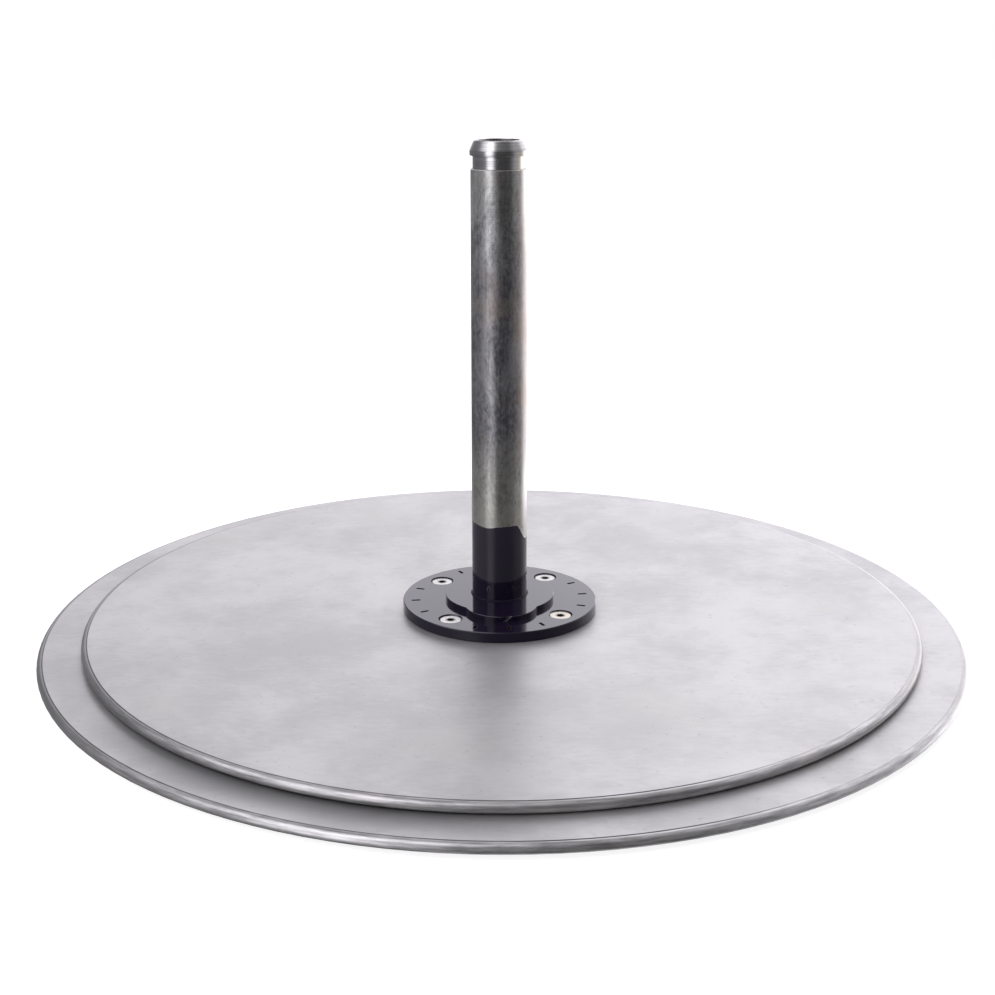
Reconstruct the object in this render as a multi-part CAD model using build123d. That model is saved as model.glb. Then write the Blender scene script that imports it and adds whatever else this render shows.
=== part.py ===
from build123d import *
import os

# A weighted parasol base: two stacked steel discs, a flange bolted on them and a stem for the mast.
# Millimetres, +Z up. The origin is on the ground, on the stem's axis. -Y is the front.

# Ground pads
PAD_DIAMETER = 40.0
PAD_HEIGHT = 3.0
PAD_COUNT = 6
PAD_CIRCLE_RADIUS = 290.0
PAD_EDGE_BREAK = 0.8

# Weight plates, each with a turned, fully rounded rim a little slimmer than the plate
LOWER_PLATE_DIAMETER = 700.0
UPPER_PLATE_DIAMETER = 636.0
PLATE_THICKNESS = 8.0
RIM_RADIUS = 3.7
RIM_SHOULDER = 0.5

# Flange
FLANGE_DIAMETER = 150.0
FLANGE_THICKNESS = 8.0
FLANGE_EDGE_BREAK = 0.6
INDEX_TURN = 6.4  # degrees that the hole pattern is turned from the front
INDEX_POSITIONS = 16
SLOT_LENGTH = 6.5
SLOT_WIDTH = 2.2
SLOT_CIRCLE_RADIUS = 65.2

# M8 countersunk hexagon-socket screws
SCREW_COUNT = 4
SCREW_CIRCLE_RADIUS = 59.0
SCREW_LENGTH = 22.0
SCREW_DIAMETER = 8.0
SCREW_TIP = 0.8
HEAD_DIAMETER = 15.8
HEAD_LAND = 0.4
HEAD_CLEARANCE = 0.03
SOCKET_ACROSS_FLATS = 5.0
SOCKET_DEPTH = 3.0
SOCKET_DRILL_POINT = 1.2
COUNTERSINK_DIAMETER = 18.4
CLEARANCE_HOLE_DIAMETER = 9.0
THREAD_CLEARANCE = 0.02

# Collar: a disc joined to a smaller round lobe, with a slanting nick in the lobe's front
COLLAR_DIAMETER = 84.0
COLLAR_THICKNESS = 4.0
COLLAR_EDGE_BREAK = 0.25
LOBE_DIAMETER = 55.0
LOBE_OFFSET = 26.0
LOBE_DIRECTION = 272.5
LOBE_BLEND = 4.0
NICK_WIDTH = 1.4
NICK_DEPTH = 1.2
NICK_SLANT = 50.0

# Stem tube and the turned nose in its upper end
STEM_DIAMETER = 42.4
STEM_WALL = 3.2
STEM_TOP = 361.0
STEM_EDGE_BREAK = 0.8
STEM_BORE_CLEARANCE = 0.05
STEM_FOOT_GAP = 0.5
NOSE_BORE_DIAMETER = 32.0
NOSE_SPIGOT_LENGTH = 25.0
NOSE_SPIGOT_CLEARANCE = 0.03
NECK_DIAMETER = 39.2
NECK_HEIGHT = 9.5
BAND_DIAMETER = 43.8
BAND_HEIGHT = 4.0
BAND_EDGE_BREAK = 0.4
CONE_HEIGHT = 7.4
NOSE_TOP_DIAMETER = 38.0
NOSE_LIP_BREAK = 0.8
NOSE_MOUTH_BREAK = 0.6
WELD_LEG = 1.2
WELD_CROWN = 0.15

# How far a cutting solid runs past the face that it opens
OVERSHOOT = 1.0

# Levels above the ground
LOWER_BOTTOM = PAD_HEIGHT
UPPER_BOTTOM = LOWER_BOTTOM + PLATE_THICKNESS
FLANGE_BOTTOM = UPPER_BOTTOM + PLATE_THICKNESS
FLANGE_TOP = FLANGE_BOTTOM + FLANGE_THICKNESS
COLLAR_TOP = FLANGE_TOP + COLLAR_THICKNESS
COUNTERSINK_DEPTH = (COUNTERSINK_DIAMETER - CLEARANCE_HOLE_DIAMETER) / 2
HEAD_SINK = (COUNTERSINK_DIAMETER - HEAD_DIAMETER) / 2 - HEAD_LAND - HEAD_CLEARANCE
INDEX_STEP = 360.0 / INDEX_POSITIONS


def turned(points):
    """Solid of revolution about the Z axis from (radius, height) corners of its section."""
    section = make_face(Polyline(*points, close=True))
    return revolve(Plane.XZ * section, Axis.Z)


def screw_places():
    """The four screw axes, on the ground plane."""
    return PolarLocations(SCREW_CIRCLE_RADIUS, SCREW_COUNT, start_angle=45 + INDEX_TURN)


def holes(diameter, bottom, thickness):
    """Cylinders that cut one hole for each screw through a plate."""
    cutter = Cylinder(diameter / 2, thickness + 2 * OVERSHOOT)
    return [Pos(0, 0, bottom + thickness / 2) * place * cutter for place in screw_places()]


def weight_plate(diameter, bottom, hole_diameter):
    """Disc whose rim is a full round, set in from both flat faces by a fine shoulder."""
    radius = diameter / 2
    middle = PLATE_THICKNESS / 2
    rim_x = radius - RIM_RADIUS
    flat_x = rim_x - RIM_SHOULDER
    rim_top = (rim_x, middle + RIM_RADIUS)
    rim_bottom = (rim_x, middle - RIM_RADIUS)
    outline = Polyline((0, 0), (0, PLATE_THICKNESS), (flat_x, PLATE_THICKNESS), rim_top)
    outline += ThreePointArc(rim_top, (radius, middle), rim_bottom)
    outline += Polyline(rim_bottom, (flat_x, 0), (0, 0))
    disc = revolve(Plane.XZ * make_face(outline), Axis.Z)
    return Pos(0, 0, bottom) * disc - holes(hole_diameter, bottom, PLATE_THICKNESS)


def ground_pads():
    """Ring of rubber pads under the lower plate."""
    pad = Pos(0, 0, PAD_HEIGHT / 2) * Cylinder(PAD_DIAMETER / 2, PAD_HEIGHT)
    pad = chamfer(pad.edges().group_by(Axis.Z)[0], PAD_EDGE_BREAK)
    return [place * pad for place in PolarLocations(PAD_CIRCLE_RADIUS, PAD_COUNT)]


def stem_bore(bottom, thickness):
    """Cylinder that cuts the stem's hole through a plate."""
    radius = STEM_DIAMETER / 2 + STEM_BORE_CLEARANCE
    return Pos(0, 0, bottom + thickness / 2) * Cylinder(radius, thickness + 2 * OVERSHOOT)


def index_slots():
    """Radial slots through the flange at every index position that no screw takes."""
    screws_every = INDEX_POSITIONS // SCREW_COUNT
    first_screw = round(45 / INDEX_STEP)
    slot = extrude(SlotOverall(SLOT_LENGTH, SLOT_WIDTH), FLANGE_THICKNESS + 2 * OVERSHOOT)
    slot = Pos(SLOT_CIRCLE_RADIUS, 0, FLANGE_BOTTOM - OVERSHOOT) * slot
    cutters = []
    for position in range(INDEX_POSITIONS):
        if (position - first_screw) % screws_every:
            cutters.append(Rot(0, 0, INDEX_TURN + position * INDEX_STEP) * slot)
    return cutters


def flange_plate():
    """Round flange with a bore for the stem, countersunk screw holes and the ring of slots."""
    middle = FLANGE_BOTTOM + FLANGE_THICKNESS / 2
    disc = Pos(0, 0, middle) * Cylinder(FLANGE_DIAMETER / 2, FLANGE_THICKNESS)
    disc = chamfer(disc.edges().filter_by(GeomType.CIRCLE), FLANGE_EDGE_BREAK)
    disc -= stem_bore(FLANGE_BOTTOM, FLANGE_THICKNESS)
    disc -= holes(CLEARANCE_HOLE_DIAMETER, FLANGE_BOTTOM, FLANGE_THICKNESS)
    countersink = Cone(CLEARANCE_HOLE_DIAMETER / 2, COUNTERSINK_DIAMETER / 2, COUNTERSINK_DEPTH)
    for place in screw_places():
        disc -= Pos(0, 0, FLANGE_TOP - COUNTERSINK_DEPTH / 2) * place * countersink
    return disc - index_slots()


def flange_screw():
    """One screw standing upright, with the top of its head at height zero."""
    head = HEAD_DIAMETER / 2
    shank = SCREW_DIAMETER / 2
    cone_end = -HEAD_LAND - (head - shank)
    body = turned([
        (0, 0),
        (head, 0),
        (head, -HEAD_LAND),
        (shank, cone_end),
        (shank, -SCREW_LENGTH + SCREW_TIP),
        (shank - SCREW_TIP, -SCREW_LENGTH),
        (0, -SCREW_LENGTH),
    ])
    socket = extrude(RegularPolygon(SOCKET_ACROSS_FLATS / 2, 6, major_radius=False), -SOCKET_DEPTH)
    drill_point = Cone(0, SOCKET_ACROSS_FLATS / 2, SOCKET_DRILL_POINT)
    return body - socket - Pos(0, 0, -SOCKET_DEPTH - SOCKET_DRILL_POINT / 2) * drill_point


def flange_screws():
    """The four screws in their countersinks."""
    level = Pos(0, 0, FLANGE_TOP - HEAD_SINK)
    return [level * place * flange_screw() for place in screw_places()]


def collar():
    """Thin plate round the stem, drawn out to a rounded lobe that carries a slanting nick."""
    outline = Circle(COLLAR_DIAMETER / 2) + Pos(LOBE_OFFSET, 0) * Circle(LOBE_DIAMETER / 2)
    waist = [corner for corner in outline.vertices() if abs(corner.Y) > COLLAR_DIAMETER / 4]
    outline = fillet(waist, LOBE_BLEND)
    plate = extrude(Rot(0, 0, LOBE_DIRECTION) * outline, COLLAR_THICKNESS)
    plate = chamfer(plate.edges().group_by(Axis.Z)[-1], COLLAR_EDGE_BREAK)
    plate = Pos(0, 0, FLANGE_TOP) * plate
    nick = Rot(-NICK_SLANT, 0, 0) * Box(2 * NICK_DEPTH, NICK_WIDTH, 3 * COLLAR_THICKNESS)
    nick = Pos(LOBE_OFFSET + LOBE_DIAMETER / 2, 0, FLANGE_TOP + COLLAR_THICKNESS / 2) * nick
    return plate - stem_bore(FLANGE_TOP, COLLAR_THICKNESS) - Rot(0, 0, 270 + INDEX_TURN) * nick


def stem_tube():
    """Plain tube that passes through the collar and stands in the flange's bore."""
    outer = STEM_DIAMETER / 2
    inner = outer - STEM_WALL
    foot = FLANGE_BOTTOM + STEM_FOOT_GAP
    return turned([
        (inner, foot),
        (outer - STEM_EDGE_BREAK, foot),
        (outer, foot + STEM_EDGE_BREAK),
        (outer, STEM_TOP - STEM_EDGE_BREAK),
        (outer - STEM_EDGE_BREAK, STEM_TOP),
        (inner, STEM_TOP),
    ])


def stem_nose():
    """Turned fitting in the tube's mouth: a spigot, a narrow neck, a guide band and a lead-in cone."""
    bore = NOSE_BORE_DIAMETER / 2
    spigot = STEM_DIAMETER / 2 - STEM_WALL - NOSE_SPIGOT_CLEARANCE
    neck = NECK_DIAMETER / 2
    band = BAND_DIAMETER / 2
    lip = NOSE_TOP_DIAMETER / 2
    band_bottom = STEM_TOP + NECK_HEIGHT
    band_top = band_bottom + BAND_HEIGHT
    top = band_top + CONE_HEIGHT
    return turned([
        (bore, STEM_TOP - NOSE_SPIGOT_LENGTH),
        (spigot, STEM_TOP - NOSE_SPIGOT_LENGTH),
        (spigot, STEM_TOP),
        (neck, STEM_TOP),
        (neck, band_bottom),
        (band - BAND_EDGE_BREAK, band_bottom),
        (band, band_bottom + BAND_EDGE_BREAK),
        (band, band_top),
        (lip, top - NOSE_LIP_BREAK),
        (lip - NOSE_LIP_BREAK, top),
        (bore + NOSE_MOUTH_BREAK, top),
        (bore, top - NOSE_MOUTH_BREAK),
    ])


def stem_weld():
    """Fillet weld round the stem on the collar, slightly crowned."""
    inner = STEM_DIAMETER / 2
    toe = (inner + WELD_LEG, COLLAR_TOP)
    head = (inner, COLLAR_TOP + WELD_LEG)
    crown = (inner + WELD_LEG / 2 + WELD_CROWN, COLLAR_TOP + WELD_LEG / 2 + WELD_CROWN)
    outline = ThreePointArc(toe, crown, head) + Polyline(head, (inner, COLLAR_TOP), toe)
    return revolve(Plane.XZ * make_face(outline), Axis.Z)


NODES = {
    "ground_pads": ground_pads(),
    "lower_plate": weight_plate(LOWER_PLATE_DIAMETER, LOWER_BOTTOM, SCREW_DIAMETER + 2 * THREAD_CLEARANCE),
    "upper_plate": weight_plate(UPPER_PLATE_DIAMETER, UPPER_BOTTOM, CLEARANCE_HOLE_DIAMETER),
    "flange_plate": flange_plate(),
    "flange_screws": flange_screws(),
    "collar": collar(),
    "stem_tube": stem_tube(),
    "stem_nose": stem_nose(),
    "stem_weld": stem_weld(),
}

os.makedirs("parts", exist_ok=True)
for name, shape in NODES.items():
    whole = Compound(children=shape) if isinstance(shape, list) else shape
    export_step(whole, f"parts/{name}.step")
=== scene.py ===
from math import cos, pi, radians, sin, tau

import bpy
from mathutils import Matrix, Vector


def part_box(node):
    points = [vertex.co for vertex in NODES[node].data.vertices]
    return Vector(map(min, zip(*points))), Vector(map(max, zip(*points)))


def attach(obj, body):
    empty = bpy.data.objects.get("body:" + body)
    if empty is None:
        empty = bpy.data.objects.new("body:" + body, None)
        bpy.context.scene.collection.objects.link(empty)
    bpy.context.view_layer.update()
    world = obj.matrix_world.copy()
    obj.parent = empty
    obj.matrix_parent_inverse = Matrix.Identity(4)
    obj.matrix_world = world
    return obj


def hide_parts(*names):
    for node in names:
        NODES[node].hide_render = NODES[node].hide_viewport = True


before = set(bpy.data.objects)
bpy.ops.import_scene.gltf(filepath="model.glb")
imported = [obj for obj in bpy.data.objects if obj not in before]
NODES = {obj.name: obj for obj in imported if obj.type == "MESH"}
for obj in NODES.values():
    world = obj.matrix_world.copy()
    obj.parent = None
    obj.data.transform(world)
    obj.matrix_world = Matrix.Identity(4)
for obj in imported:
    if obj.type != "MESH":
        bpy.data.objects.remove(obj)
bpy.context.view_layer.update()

MM = 0.001

# Levels and radii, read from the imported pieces
GROUND_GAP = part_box("lower_plate")[0].z
PLATE_RADII = {name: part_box(name)[1].x for name in ("lower_plate", "upper_plate")}
COLLAR_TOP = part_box("collar")[1].z
UPPER_RADIUS = PLATE_RADII["upper_plate"]
STEM_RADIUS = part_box("stem_tube")[1].x
STEM_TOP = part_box("stem_tube")[1].z
NOSE_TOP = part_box("stem_nose")[1].z
SCREW_HEAD_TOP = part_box("flange_screws")[1].z
WELD_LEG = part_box("stem_weld")[1].x - STEM_RADIUS
FLANGE_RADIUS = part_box("flange_plate")[1].x
FLANGE_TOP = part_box("flange_plate")[1].z

# The flange's screws and slots, the farthest that the collar reaches from the axis and the nick there
SCREW_CIRCLE = 59 * MM
SCREW_TURN = 51.4
COLLAR_REACH = 54.5 * MM
INDEX_TURN = 6.4
INDEX_STEP = 22.5
SLOT_CIRCLE = 65.2 * MM
NICK_DIRECTION = 276.4
NICK_SLANT = 50
NICK_WIDTH = 1.0 * MM

# The rim of each plate is turned bright: how far in from the edge it reaches, and how wide the painted shade
# line along that edge is
RIM_WIDTH = 4.2 * MM
RIM_SHADE_LINE = 0.7 * MM

# Edge of the black paint on the stem's foot: height above the ground, drop at the right, dip, waviness
PAINT_TOP = 90.6 * MM
PAINT_DROP = 13 * MM
PAINT_DIP = 1.6 * MM
PAINT_WAVE = 1.6 * MM

# Crossed scratches on the stem: how steeply they climb, drift sideways and are squeezed along the tube
HATCH_CLIMB = 26.0
HATCH_DRIFT = 0.03
HATCH_SQUEEZE = 4.0

# Ripples of the weld bead round the stem
WELD_RIPPLES = 72
WELD_STEPS_EACH = 8
WELD_PROFILE_POINTS = 9

FLOOR_SIZE = 60.0

# Camera: close and a little above the stem's top, looking down at the discs
CAMERA_DISTANCE = 1.1473
CAMERA_HEIGHT = 0.4513 + GROUND_GAP
CAMERA_PITCH = 10.93
CAMERA_YAW = -1.116
CAMERA_ROLL = -0.298
CAMERA_LENS = 55.94
CAMERA_SHIFT = (0.0281, -0.16)
SENSOR = 36.0


class Tree:
    """A node tree, with short calls that add a node and return it or its output."""

    def __init__(self, tree):
        self.tree = tree
        tree.nodes.clear()

    def add(self, kind, inputs=None, **settings):
        node = self.tree.nodes.new(kind)
        for key, value in settings.items():
            setattr(node, key, value)
        for key, value in (inputs or {}).items():
            self.feed(node.inputs[key], value)
        return node

    def feed(self, socket, value):
        if isinstance(value, bpy.types.NodeSocket):
            self.tree.links.new(value, socket)
        elif socket.type == "RGBA" and len(value) == 3:
            socket.default_value = (*value, 1.0)
        else:
            socket.default_value = value

    def math(self, operation, first, second=0.0, third=0.0):
        return self.add("ShaderNodeMath", {0: first, 1: second, 2: third}, operation=operation).outputs[0]

    def plus(self, first, second):
        return self.math("ADD", first, second)

    def minus(self, first, second):
        return self.math("SUBTRACT", first, second)

    def times(self, first, second):
        return self.math("MULTIPLY", first, second)

    def ramp(self, value, low, high, to_low=0.0, to_high=1.0):
        """Maps low..high smoothly to to_low..to_high, held at both ends."""
        inputs = {"Value": value, "From Min": low, "From Max": high, "To Min": to_low, "To Max": to_high}
        return self.add("ShaderNodeMapRange", inputs, interpolation_type="SMOOTHSTEP").outputs["Result"]

    def combine(self, x, y, z=0.0):
        return self.add("ShaderNodeCombineXYZ", {"X": x, "Y": y, "Z": z}).outputs["Vector"]

    def blend(self, factor, first, second):
        """Mixes two colours."""
        return self.add("ShaderNodeMix", {0: factor, 6: first, 7: second}, data_type="RGBA").outputs[2]

    def lerp(self, factor, first, second):
        """Mixes two numbers."""
        return self.add("ShaderNodeMix", {0: factor, 2: first, 3: second}, data_type="FLOAT").outputs[0]


class Shader(Tree):
    """A material built from the object's own coordinates."""

    def __init__(self, name):
        self.material = bpy.data.materials.new(name)
        self.material.use_nodes = True
        super().__init__(self.material.node_tree)
        self.position = self.add("ShaderNodeTexCoord").outputs["Object"]
        self.x, self.y, self.z = self.add("ShaderNodeSeparateXYZ", {"Vector": self.position}).outputs
        self.radius = self.math("SQRT", self.plus(self.times(self.x, self.x), self.times(self.y, self.y)))
        self.angle = self.math("ARCTAN2", self.y, self.x)

    def noise(self, scale, detail=4.0, roughness=0.55, stretch=None, vector=None, distortion=0.0):
        """Fractal noise from 0 to 1; stretch scales the three axes before scale does."""
        vector = vector or self.position
        if stretch:
            vector = self.add("ShaderNodeMapping", {"Vector": vector, "Scale": stretch}).outputs["Vector"]
        inputs = {
            "Vector": vector,
            "Scale": scale,
            "Detail": detail,
            "Roughness": roughness,
            "Distortion": distortion,
        }
        return self.add("ShaderNodeTexNoise", inputs).outputs["Fac"]

    def mixed_noise(self, *layers):
        """Weighted sum of noises, given as (weight, noise) pairs."""
        total = 0.0
        for weight, noise in layers:
            total = self.math("MULTIPLY_ADD", noise, weight, total)
        return total

    def bump(self, height, distance, strength=1.0, normal=None):
        inputs = {"Height": height, "Distance": distance, "Strength": strength}
        if normal:
            inputs["Normal"] = normal
        return self.add("ShaderNodeBump", inputs).outputs["Normal"]

    def finish(self, **inputs):
        """Ends the tree in one Principled surface and returns the material."""
        named = {}
        for key, value in inputs.items():
            named[key.replace("_", " ").title().replace("Ior", "IOR")] = value
        surface = self.add("ShaderNodeBsdfPrincipled", named)
        self.add("ShaderNodeOutputMaterial", {"Surface": surface.outputs["BSDF"]})
        return self.material


def zinc_plate(name, radius, ledge_shade_strength=0.0):
    """Satin zinc coating with cloudy blotches and specks, painted shade on the ledge at the front left next
    to the upper plate's rim, and a turned rim.
    """
    s = Shader(name)
    clouds = s.noise(9.0, detail=3.0, distortion=0.6)
    blotches = s.noise(38.0, detail=5.0, roughness=0.62)
    grain = s.noise(170.0, detail=3.0, stretch=(0.6, 1.5, 1.0))
    tone = s.mixed_noise((0.52, clouds), (0.3, blotches), (0.18, grain))
    flat = s.blend(s.ramp(tone, 0.38, 0.62), (0.37, 0.369, 0.361), (0.45, 0.448, 0.439))
    patina = s.ramp(s.noise(6.5, detail=4.0, vector=s.combine(s.y, s.x, 3.7)), 0.52, 0.70, 0.0, 0.55)
    flat = s.blend(patina, flat, (0.42, 0.415, 0.385))
    scuffs = s.ramp(s.noise(75.0, detail=6.0, roughness=0.72), 0.60, 0.70, 0.0, 0.3)
    flat = s.blend(scuffs, flat, (0.25, 0.246, 0.238))
    # Painted shade: at the front left, the ledge just outside the upper plate's rim is darkened, as the
    # shadow band under that rim
    ledge_shade = s.ramp(s.radius, UPPER_RADIUS + 32 * MM, UPPER_RADIUS + 8 * MM, 0.0, ledge_shade_strength)
    leftwards = s.ramp(s.x, 0.2 * radius, -0.25 * radius)
    forwards = s.ramp(s.y, -0.4 * radius, -0.85 * radius)
    ledge_shade = s.times(ledge_shade, s.times(leftwards, forwards))
    flat = s.blend(ledge_shade, flat, (0.17, 0.17, 0.168))
    specks = s.ramp(s.noise(330.0, detail=2.0), 0.68, 0.75, 0.0, 0.5)
    flat = s.blend(specks, flat, (0.22, 0.21, 0.20))

    around = s.times(s.angle, radius)
    along_rim = s.combine(s.times(around, 0.09), s.radius, s.z)
    streaks = s.noise(420.0, detail=5.0, roughness=0.65, vector=along_rim)
    patches = s.noise(16.0, detail=4.0, vector=s.combine(around, s.z))
    rim = s.blend(s.ramp(streaks, 0.3, 0.7), (0.24, 0.239, 0.235), (0.50, 0.498, 0.487))
    rim = s.blend(s.ramp(patches, 0.5, 0.75, 0.0, 0.5), rim, (0.40, 0.37, 0.345))

    # Painted shade: the rim is darkened towards the left side and, less, towards the right side
    left_rim_shade = s.ramp(s.x, -0.55 * radius, -0.9 * radius, 0.0, 0.75)
    rim = s.blend(left_rim_shade, rim, (0.12, 0.12, 0.118))
    rim = s.blend(s.ramp(s.x, 0.7 * radius, 0.95 * radius, 0.0, 0.5), rim, (0.27, 0.265, 0.25))

    edge = radius - RIM_WIDTH
    on_rim = s.ramp(s.radius, edge - 0.15 * MM, edge + 0.15 * MM)
    from_edge = s.math("ABSOLUTE", s.minus(s.radius, edge))
    # Painted shade: a dark line along the edge between the flat top and the rim, faded out on the right side
    shade_line_strength = s.ramp(s.x, 0.55 * radius, 0.3 * radius, 0.15, 0.85)
    shade_line = s.times(s.ramp(from_edge, RIM_SHADE_LINE, 0.1 * MM), shade_line_strength)
    color = s.blend(on_rim, flat, rim)
    color = s.blend(shade_line, color, (0.05, 0.05, 0.05))

    satin = s.math("MULTIPLY_ADD", tone, -0.12, 0.49)
    turned = s.math("MULTIPLY_ADD", streaks, 0.14, 0.27)
    return s.finish(
        base_color=color,
        metallic=s.lerp(on_rim, 0.70, 0.8),
        roughness=s.lerp(on_rim, satin, turned),
        normal=s.bump(s.lerp(on_rim, grain, streaks), 0.05 * MM, 0.3),
    )


def gloss_paint(s, roughness=0.06):
    """Colour, roughness and normal of gloss black paint over steel."""
    peel = s.noise(260.0, detail=2.0)
    dust = s.ramp(s.noise(1400.0, detail=2.0), 0.62, 0.78)
    color = s.blend(s.times(dust, 0.35), (0.0075, 0.005, 0.014), (0.018, 0.016, 0.024))
    smear = s.ramp(s.noise(38.0, detail=5.0), 0.4, 0.7)
    return color, s.math("MULTIPLY_ADD", smear, 0.06, roughness), s.bump(peel, 0.02 * MM, 0.5)


def weld_paint(name):
    """The same paint gone dull over the bead."""
    s = Shader(name)
    color, roughness, normal = gloss_paint(s, 0.4)
    return s.finish(base_color=color, roughness=roughness, normal=normal, specular_ior_level=0.1)


def collar_paint(name):
    """Gloss black, with a pale streak of bare metal along the slanting nick in the lobe's front, lightened as
    a painted highlight.
    """
    s = Shader(name)
    color, roughness, normal = gloss_paint(s)
    turn = radians(NICK_DIRECTION)
    slant = radians(NICK_SLANT)
    aside = s.plus(s.times(s.x, -sin(turn)), s.times(s.y, cos(turn)))
    up = s.minus(s.z, (FLANGE_TOP + COLLAR_TOP) / 2)
    across = s.math("ABSOLUTE", s.minus(s.times(aside, cos(slant)), s.times(up, sin(slant))))
    front_wall = s.ramp(s.radius, COLLAR_REACH - 2.4 * MM, COLLAR_REACH - 2.0 * MM)
    close = s.ramp(s.math("ABSOLUTE", aside), 5.0 * MM, 4.0 * MM)
    # Painted highlight: the nick's face is lightened to a pale bare-metal streak, as the light it catches
    nick_highlight = s.times(s.ramp(across, NICK_WIDTH, 0.5 * NICK_WIDTH), s.times(front_wall, close))
    return s.finish(
        base_color=s.blend(nick_highlight, color, (0.27, 0.26, 0.28)),
        metallic=s.times(nick_highlight, 0.5),
        roughness=s.lerp(nick_highlight, roughness, 0.4),
        normal=normal,
        ior=1.5,
    )


def flange_paint(name):
    """Gloss black with tool lines on the edge; dull and dirty in and round the slots and countersinks, where
    the dulling also stands in for painted shade.
    """
    s = Shader(name)
    color, roughness, normal = gloss_paint(s)
    # Dirt and painted shade: faces below the top and a border round each slot are dulled, which darkens them
    # as the shade in these recesses
    beyond_collar = s.ramp(s.radius, COLLAR_REACH, COLLAR_REACH + 0.5 * MM)
    within_edge = s.ramp(s.radius, FLANGE_RADIUS - 1.2 * MM, FLANGE_RADIUS - 1.6 * MM)
    below_face = s.ramp(s.z, FLANGE_TOP - 0.1 * MM, FLANGE_TOP - 0.3 * MM)
    shaded_recess = s.times(below_face, s.times(beyond_collar, within_edge))
    half_step = radians(INDEX_STEP) / 2
    step = s.math("WRAP", s.minus(s.angle, radians(INDEX_TURN)), half_step, -half_step)
    across = s.math("ABSOLUTE", s.times(s.radius, s.math("SINE", step)))
    along = s.math("ABSOLUTE", s.minus(s.times(s.radius, s.math("COSINE", step)), SLOT_CIRCLE))
    by_slot = s.times(s.ramp(across, 1.5 * MM, 1.1 * MM), s.ramp(along, 3.6 * MM, 3.2 * MM))
    quarter = s.math("WRAP", s.minus(s.angle, radians(SCREW_TURN)), pi / 4, -pi / 4)
    clear_of_screw = s.ramp(s.math("ABSOLUTE", quarter), radians(8), radians(12))
    dirt_and_shade = s.math("MAXIMUM", shaded_recess, s.times(by_slot, clear_of_screw))
    color = s.blend(dirt_and_shade, color, (0.018, 0.016, 0.02))
    tool_lines = s.noise(2600.0, detail=2.0, vector=s.combine(s.times(s.angle, 0.0015), s.z))
    on_edge = s.times(s.ramp(s.radius, FLANGE_RADIUS - 1.0 * MM, FLANGE_RADIUS - 0.4 * MM), below_face)
    roughness = s.lerp(dirt_and_shade, s.lerp(on_edge, roughness, 0.13), 0.6)
    edge_normal = s.bump(tool_lines, 0.02 * MM, s.times(on_edge, 0.3), normal)
    return s.finish(
        base_color=color,
        roughness=roughness,
        normal=edge_normal,
        specular_ior_level=s.lerp(dirt_and_shade, s.lerp(on_edge, 0.5, 0.3), 0.12),
        ior=1.5,
    )


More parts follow.
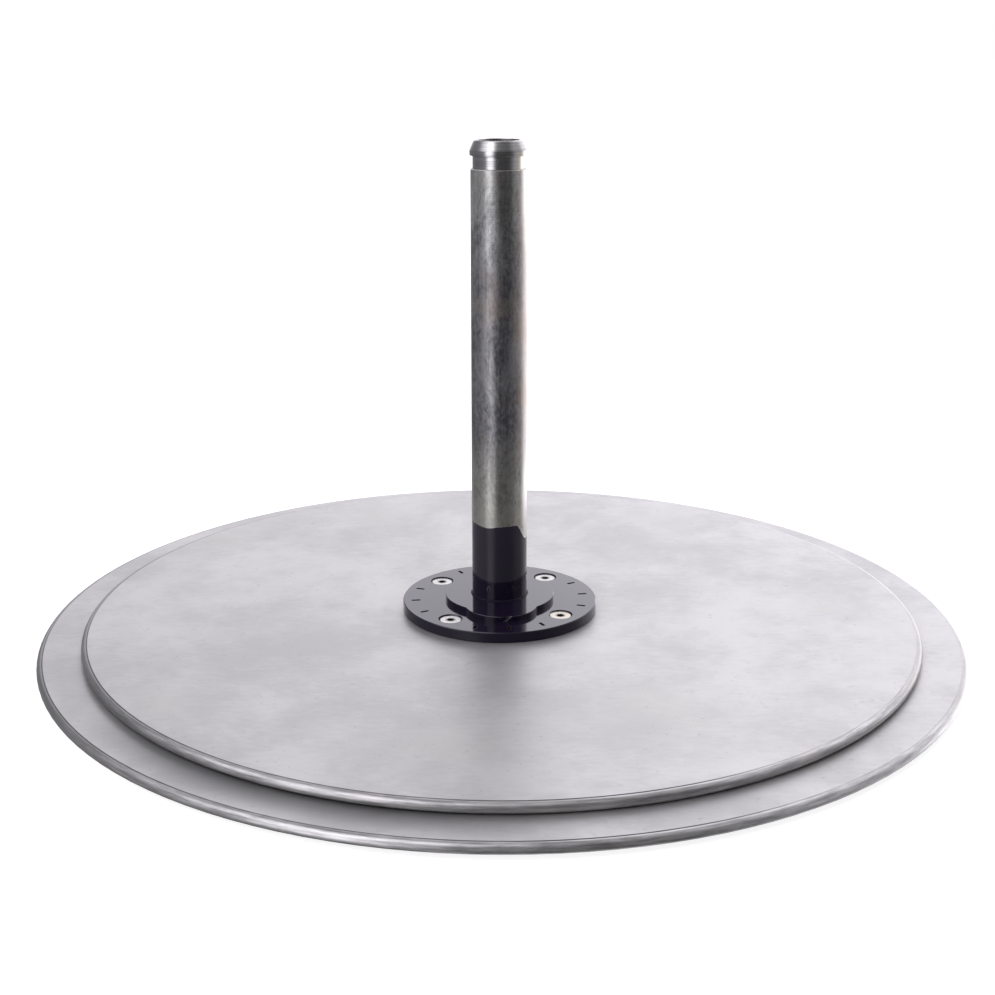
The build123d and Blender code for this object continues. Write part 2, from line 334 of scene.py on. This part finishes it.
def stem_steel(name):
    """Tube dulled by mill scale, brighter near both ends; its foot is painted to a wavy brushed edge."""
    s = Shader(name)
    streaks = s.noise(190.0, detail=4.0, stretch=(1.0, 1.0, 0.04))
    mottle = s.noise(38.0, detail=7.0, roughness=0.68, stretch=(1.0, 1.0, 0.6), distortion=0.5)
    fine = s.noise(480.0, detail=5.0, roughness=0.7, stretch=(1.0, 1.0, 0.5))
    tone = s.mixed_noise((0.46, mottle), (0.22, streaks), (0.32, fine))
    ragged_height = s.math("MULTIPLY_ADD", s.minus(mottle, 0.5), 60 * MM, s.z)
    near_top = s.ramp(ragged_height, STEM_TOP - 85 * MM, STEM_TOP - 12 * MM)
    near_foot = s.ramp(ragged_height, PAINT_TOP + 80 * MM, PAINT_TOP + 2 * MM)
    clean = s.math("MAXIMUM", near_top, near_foot)

    scale = s.blend(s.ramp(tone, 0.40, 0.60), (0.075, 0.075, 0.08), (0.25, 0.25, 0.25))
    bare = s.blend(s.ramp(tone, 0.38, 0.62), (0.17, 0.173, 0.165), (0.46, 0.465, 0.445))
    steel = s.blend(clean, scale, bare)
    olive = s.times(near_foot, s.ramp(mottle, 0.35, 0.6, 0.25, 0.7))
    steel = s.blend(s.times(olive, 0.8), steel, (0.37, 0.365, 0.29))
    rust = s.ramp(s.noise(26.0, detail=5.0, vector=s.combine(s.y, s.z, s.x)), 0.50, 0.70, 0.0, 0.4)
    right_side = s.ramp(s.x, 0.3 * STEM_RADIUS, 0.9 * STEM_RADIUS)
    rust = s.times(s.math("MULTIPLY_ADD", right_side, 0.45, rust), s.ramp(near_foot, 0.0, 0.6, 1.0, 0.2))
    # Painted reflection: the far right of the tube is lightened, as the reflection of the bright wall at the
    # right
    far_right = s.ramp(s.x, 0.72 * STEM_RADIUS, 0.95 * STEM_RADIUS)
    right_edge_reflection = s.times(far_right, s.ramp(clean, 0.2, 0.8, 0.35, 0.8))
    steel = s.blend(right_edge_reflection, steel, (0.66, 0.655, 0.62))
    steel = s.blend(rust, steel, (0.27, 0.225, 0.185))

    climb = s.times(s.z, HATCH_CLIMB)
    drift = s.times(s.angle, HATCH_DRIFT)
    leaning = s.combine(s.plus(s.angle, climb), s.times(s.minus(s.z, drift), HATCH_SQUEEZE))
    hatch_one = s.noise(26.0, detail=6.0, roughness=0.8, vector=leaning)
    crossing = s.combine(s.minus(s.angle, climb), s.times(s.plus(s.z, drift), HATCH_SQUEEZE))
    hatch_two = s.noise(26.0, detail=6.0, roughness=0.8, vector=crossing)
    hatching = s.math("MAXIMUM", s.ramp(hatch_one, 0.62, 0.72), s.ramp(hatch_two, 0.62, 0.72))
    worn = s.ramp(s.noise(15.0, detail=3.0, vector=s.combine(s.z, s.x, s.y)), 0.45, 0.62)
    steel = s.blend(s.times(s.times(hatching, worn), 0.75), steel, (0.55, 0.55, 0.55))
    spots = s.ramp(s.noise(210.0, detail=4.0, roughness=0.7), 0.60, 0.72, 0.0, 0.5)
    steel = s.blend(spots, steel, (0.06, 0.06, 0.06))
    turning = s.noise(900.0, detail=2.0, vector=s.combine(s.z, s.times(s.angle, 0.001)))
    top_rings = s.times(s.ramp(s.z, STEM_TOP - 60 * MM, STEM_TOP - 20 * MM), s.ramp(turning, 0.45, 0.65))
    steel = s.blend(s.times(top_rings, 0.12), steel, (0.5, 0.5, 0.5))
    rough_steel = s.lerp(clean, 0.44, s.math("MULTIPLY_ADD", tone, -0.2, 0.46))
    steel_metallic = s.lerp(clean, 0.9, 0.96)
    steel_bump = s.bump(tone, 0.05 * MM, 0.45)

    ragged = s.noise(55.0, detail=3.0, stretch=(1.0, 1.0, 0.0))
    wave = s.times(s.minus(ragged, 0.5), 2 * PAINT_WAVE)
    drop = s.ramp(s.x, 0.62 * STEM_RADIUS, 0.96 * STEM_RADIUS, 0.0, PAINT_DROP)
    dip = s.ramp(s.math("ABSOLUTE", s.plus(s.x, 0.5 * STEM_RADIUS)), 0.4 * STEM_RADIUS, 0.0, 0.0, PAINT_DIP)
    edge = s.plus(s.minus(s.minus(PAINT_TOP, drop), dip), wave)
    painted = s.ramp(s.minus(edge, s.z), -0.25 * MM, 0.25 * MM)
    color, roughness, paint_bump = gloss_paint(s)
    bumps = {0: painted, 4: steel_bump, 5: paint_bump}
    under = s.add("ShaderNodeMix", bumps, data_type="VECTOR").outputs[1]
    return s.finish(
        base_color=s.blend(painted, steel, color),
        metallic=s.times(s.minus(1.0, painted), steel_metallic),
        roughness=s.lerp(painted, rough_steel, roughness),
        normal=s.bump(painted, 0.12 * MM, 1.0, under),
        ior=1.5,
    )


def turned_steel(name):
    """Bright lathe-turned steel with fine rings and a little handling grime."""
    s = Shader(name)
    rings = s.noise(1500.0, detail=3.0, vector=s.combine(s.times(s.angle, 0.0002), s.z, s.radius))
    grime = s.noise(70.0, detail=5.0, roughness=0.65)
    color = s.blend(s.ramp(rings, 0.3, 0.7), (0.30, 0.30, 0.29), (0.43, 0.43, 0.415))
    color = s.blend(s.ramp(grime, 0.52, 0.72, 0.0, 0.4), color, (0.26, 0.245, 0.22))
    below_cone = s.ramp(s.z, NOSE_TOP - 7 * MM, NOSE_TOP - 9 * MM)
    right_side = s.times(s.ramp(s.x, 0.45 * STEM_RADIUS, 0.8 * STEM_RADIUS), below_cone)
    color = s.blend(s.times(right_side, 0.7), color, (0.44, 0.42, 0.33))
    # Painted shade: the left side of the nose is darkened
    left_shade = s.ramp(s.x, -0.35 * STEM_RADIUS, -0.8 * STEM_RADIUS, 0.0, 0.6)
    color = s.blend(left_shade, color, (0.14, 0.14, 0.145))
    inside = s.ramp(s.radius, 0.79 * STEM_RADIUS, 0.76 * STEM_RADIUS)
    color = s.blend(s.times(inside, 0.4), color, (0.24, 0.20, 0.18))
    return s.finish(
        base_color=color,
        metallic=1.0,
        roughness=s.math("MULTIPLY_ADD", grime, 0.2, 0.16),
        normal=s.bump(rings, 0.006 * MM, 0.5),
    )


def screw_zinc(name):
    """Bright zinc plating, warm on one screw, with painted shade round and inside the socket and along the
    head's edge.
    """
    s = Shader(name)
    wear = s.noise(420.0, detail=4.0)
    color = s.blend(s.ramp(wear, 0.35, 0.7), (0.42, 0.415, 0.40), (0.56, 0.555, 0.54))
    warm = s.times(s.ramp(s.x, 0.0, 30 * MM), s.ramp(s.y, 0.0, -30 * MM))
    color = s.blend(s.times(warm, 0.6), color, (0.50, 0.455, 0.34))
    # Painted shade: darker round the socket, darker at the head's edge beside the countersink, and dark
    # inside the socket
    quarter = s.math("WRAP", s.minus(s.angle, radians(SCREW_TURN)), pi / 4, -pi / 4)
    out = s.minus(s.times(s.radius, s.math("COSINE", quarter)), SCREW_CIRCLE)
    aside = s.times(s.radius, s.math("SINE", quarter))
    from_axis = s.math("SQRT", s.plus(s.times(out, out), s.times(aside, aside)))
    socket_shade_ring = s.ramp(from_axis, 4.6 * MM, 3.2 * MM, 0.0, 0.85)
    color = s.blend(socket_shade_ring, color, (0.13, 0.12, 0.11))
    head_edge_shade = s.ramp(from_axis, 7.3 * MM, 7.8 * MM, 0.0, 0.6)
    color = s.blend(head_edge_shade, color, (0.2, 0.19, 0.18))
    socket_shade = s.ramp(s.z, SCREW_HEAD_TOP - 0.02 * MM, SCREW_HEAD_TOP - 0.2 * MM)
    color = s.blend(socket_shade, color, (0.02, 0.018, 0.016))
    return s.finish(
        base_color=color,
        metallic=s.lerp(socket_shade, 1.0, 0.2),
        roughness=s.lerp(socket_shade, s.math("MULTIPLY_ADD", wear, 0.2, 0.26), 0.7),
        normal=s.bump(wear, 0.02 * MM, 0.4),
    )


def pad_rubber(name):
    s = Shader(name)
    grain = s.noise(1100.0, detail=4.0)
    color = s.blend(grain, (0.012, 0.012, 0.012), (0.035, 0.034, 0.033))
    roughness = s.math("MULTIPLY_ADD", grain, 0.2, 0.7)
    return s.finish(base_color=color, roughness=roughness, normal=s.bump(grain, 0.05 * MM, 0.6))


def floor_paper(name):
    s = Shader(name)
    grain = s.noise(9.0, detail=2.0)
    color = s.blend(grain, (0.48, 0.48, 0.48), (0.52, 0.52, 0.52))
    glow = {"emission_color": (1.0, 1.0, 1.0), "emission_strength": 0.78}
    return s.finish(base_color=color, roughness=0.9, specular_ior_level=0.0, **glow)


def add_piece(name, mesh, material):
    mesh.materials.append(material)
    piece = bpy.data.objects.new(name, mesh)
    bpy.context.scene.collection.objects.link(piece)
    return piece


def ring_mesh(name, rows):
    """Smooth closed ring from rows of points, each row a loop joined to the next."""
    across = len(rows[0])
    points = [point for row in rows for point in row]
    faces = []
    for i in range(len(rows)):
        following = (i + 1) % len(rows)
        for j in range(across):
            k = (j + 1) % across
            faces.append((i * across + j, following * across + j, following * across + k, i * across + k))
    mesh = bpy.data.meshes.new(name)
    mesh.from_pydata(points, [], faces)
    mesh.shade_smooth()
    return mesh


def weld_bead(material):
    """Fillet weld laid round the stem's foot in small overlapping ripples."""
    steps = WELD_STEPS_EACH * WELD_RIPPLES
    rows = []
    for i in range(steps):
        turn = tau * i / steps
        phase = (i / WELD_STEPS_EACH + 0.5 * sin(3 * turn)) % 1.0
        swell = 0.80 + 0.14 * sin(pi * phase) + 0.05 * sin(5 * turn + 1.0)
        section = []
        for j in range(WELD_PROFILE_POINTS):
            t = j / (WELD_PROFILE_POINTS - 1)
            bulge = 0.14 * sin(pi * t)
            section.append((swell * (1.0 - t) + bulge, swell * t + bulge))
        section.append((0.0, 0.0))
        row = []
        for out, up in section:
            radius = STEM_RADIUS + WELD_LEG * out
            row.append((radius * cos(turn), radius * sin(turn), COLLAR_TOP + WELD_LEG * up))
        rows.append(row)
    return add_piece("weld_bead", ring_mesh("weld_bead", rows), material)


def dress(name, material):
    """Gives every slot of a CAD node one material."""
    for slot in NODES[name].material_slots:
        slot.material = material


def add_camera():
    pitch, yaw, roll = radians(CAMERA_PITCH), radians(CAMERA_YAW), radians(CAMERA_ROLL)
    forward = Vector((sin(yaw) * cos(pitch), cos(yaw) * cos(pitch), -sin(pitch)))
    right = forward.cross(Vector((0, 0, 1))).normalized()
    up = right.cross(forward)
    tilted_right = cos(roll) * right + sin(roll) * up
    tilted_up = cos(roll) * up - sin(roll) * right
    data = bpy.data.cameras.new("camera")
    data.sensor_width = SENSOR
    data.lens = CAMERA_LENS
    data.shift_x, data.shift_y = CAMERA_SHIFT
    data.clip_end = 100.0
    camera = bpy.data.objects.new("camera", data)
    turn = Matrix((tilted_right, tilted_up, -forward)).transposed().to_4x4()
    camera.matrix_world = Matrix.Translation((0, -CAMERA_DISTANCE, CAMERA_HEIGHT)) @ turn
    bpy.context.scene.collection.objects.link(camera)
    bpy.context.scene.camera = camera


def add_floor():
    half = FLOOR_SIZE / 2
    corners = [(-half, -half, 0), (half, -half, 0), (half, half, 0), (-half, half, 0)]
    mesh = bpy.data.meshes.new("floor")
    mesh.from_pydata(corners, [], [(0, 1, 2, 3)])
    floor = add_piece("floor", mesh, floor_paper("floor_paper"))
    floor.visible_glossy = False


# Light round the object, as soft-edged panels: the azimuth of the middle in degrees right of the camera's
# side, half the width, the softness of the edges, the radiance below and above the horizon, and the
# elevation at which it ends
LIGHT_PANELS = {
    "back wall": {"middle": 148, "half": 38, "soft": 11, "low": 3.1, "high": 1.92, "top": 56},
    "right wall": {"middle": 86, "half": 24, "soft": 14, "low": 0.6, "high": 0.6, "top": 60},
    "back left wall": {"middle": -162, "half": 12, "soft": 7, "low": 0.4, "high": 1.65, "top": 31},
    "left wall": {"middle": -105, "half": 43, "soft": 9, "low": 0.32, "high": 0.42, "top": 60},
    "front left softbox": {"middle": -38, "half": 15, "soft": 7, "low": 3.0, "high": 2.1, "top": 60},
}
HORIZON = (-5, 15)
TOP_SOFTNESS = 12
AMBIENT = 0.10
CEILING = 0.45
CEILING_FROM = 45
OVERHEAD_BOX = {"azimuth": -62, "elevation": 55, "radius": 26, "soft": 11, "level": 1.9}
LIGHT_COLOR = (1.0, 0.975, 1.055)
FROM_BELOW = (-34, -20)
BELOW_SHARE = 0.3


def add_studio():
    """World light from the panels, an overhead box, a dim ceiling and some ambient; the camera sees white."""
    world = bpy.data.worlds.new("studio")
    bpy.context.scene.world = world
    world.use_nodes = True
    w = Tree(world.node_tree)
    direction = w.add("ShaderNodeTexCoord").outputs["Generated"]
    x, y, z = w.add("ShaderNodeSeparateXYZ", {"Vector": direction}).outputs
    level_length = w.math("SQRT", w.math("MAXIMUM", w.minus(1.0, w.times(z, z)), 1e-6))
    east = w.math("DIVIDE", x, level_length)
    front = w.math("DIVIDE", w.times(y, -1.0), level_length)
    elevation = w.math("ARCSINE", z)
    above_horizon = w.ramp(elevation, radians(HORIZON[0]), radians(HORIZON[1]))
    ceiling_from, top_soft = radians(CEILING_FROM), radians(TOP_SOFTNESS)
    light = w.ramp(elevation, ceiling_from - top_soft, ceiling_from + top_soft, AMBIENT, CEILING)
    for panel in LIGHT_PANELS.values():
        middle = radians(panel["middle"])
        cosine = w.plus(w.times(east, sin(middle)), w.times(front, cos(middle)))
        away = w.math("ARCCOSINE", w.math("MINIMUM", w.math("MAXIMUM", cosine, -1.0), 1.0))
        half, soft, top = radians(panel["half"]), radians(panel["soft"]), radians(panel["top"])
        across = w.ramp(away, half + soft, half - soft)
        under = w.ramp(elevation, top + top_soft, top - top_soft)
        level = w.lerp(above_horizon, panel["low"], panel["high"])
        light = w.math("MULTIPLY_ADD", w.times(across, under), level, light)
    azimuth, height = radians(OVERHEAD_BOX["azimuth"]), radians(OVERHEAD_BOX["elevation"])
    middle = (cos(height) * sin(azimuth), -cos(height) * cos(azimuth), sin(height))
    product = w.add("ShaderNodeVectorMath", {0: direction, 1: middle}, operation="DOT_PRODUCT")
    cosine = product.outputs["Value"]
    away = w.math("ARCCOSINE", w.math("MINIMUM", cosine, 1.0))
    radius, soft = radians(OVERHEAD_BOX["radius"]), radians(OVERHEAD_BOX["soft"])
    light = w.plus(light, w.ramp(away, radius + soft, radius - soft, 0.0, OVERHEAD_BOX["level"]))
    below = w.ramp(elevation, radians(FROM_BELOW[0]), radians(FROM_BELOW[1]), BELOW_SHARE, 1.0)
    light = w.times(light, below)
    lit = w.add("ShaderNodeBackground", {"Color": LIGHT_COLOR, "Strength": light}).outputs[0]
    white = w.add("ShaderNodeBackground", {"Color": (1.0, 1.0, 1.0), "Strength": 1.0}).outputs[0]
    seen = w.add("ShaderNodeLightPath").outputs["Is Camera Ray"]
    mixed = w.add("ShaderNodeMixShader", {0: seen, 1: lit, 2: white}).outputs[0]
    w.add("ShaderNodeOutputWorld", {"Surface": mixed})


def add_materials():
    lower_zinc = zinc_plate("lower_plate_zinc", PLATE_RADII["lower_plate"], ledge_shade_strength=0.85)
    dress("lower_plate", lower_zinc)
    dress("upper_plate", zinc_plate("upper_plate_zinc", UPPER_RADIUS))
    dress("flange_plate", flange_paint("flange_paint"))
    dress("collar", collar_paint("collar_paint"))
    dress("stem_tube", stem_steel("stem_steel"))
    dress("stem_nose", turned_steel("turned_steel"))
    dress("flange_screws", screw_zinc("screw_zinc"))
    dress("ground_pads", pad_rubber("pad_rubber"))
    bead = weld_bead(weld_paint("weld_paint"))
    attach(bead, "root")
    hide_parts("stem_weld")


add_materials()
add_floor()
add_studio()
add_camera()

scene = bpy.context.scene
scene.view_settings.view_transform = "Standard"
scene.view_settings.look = "None"
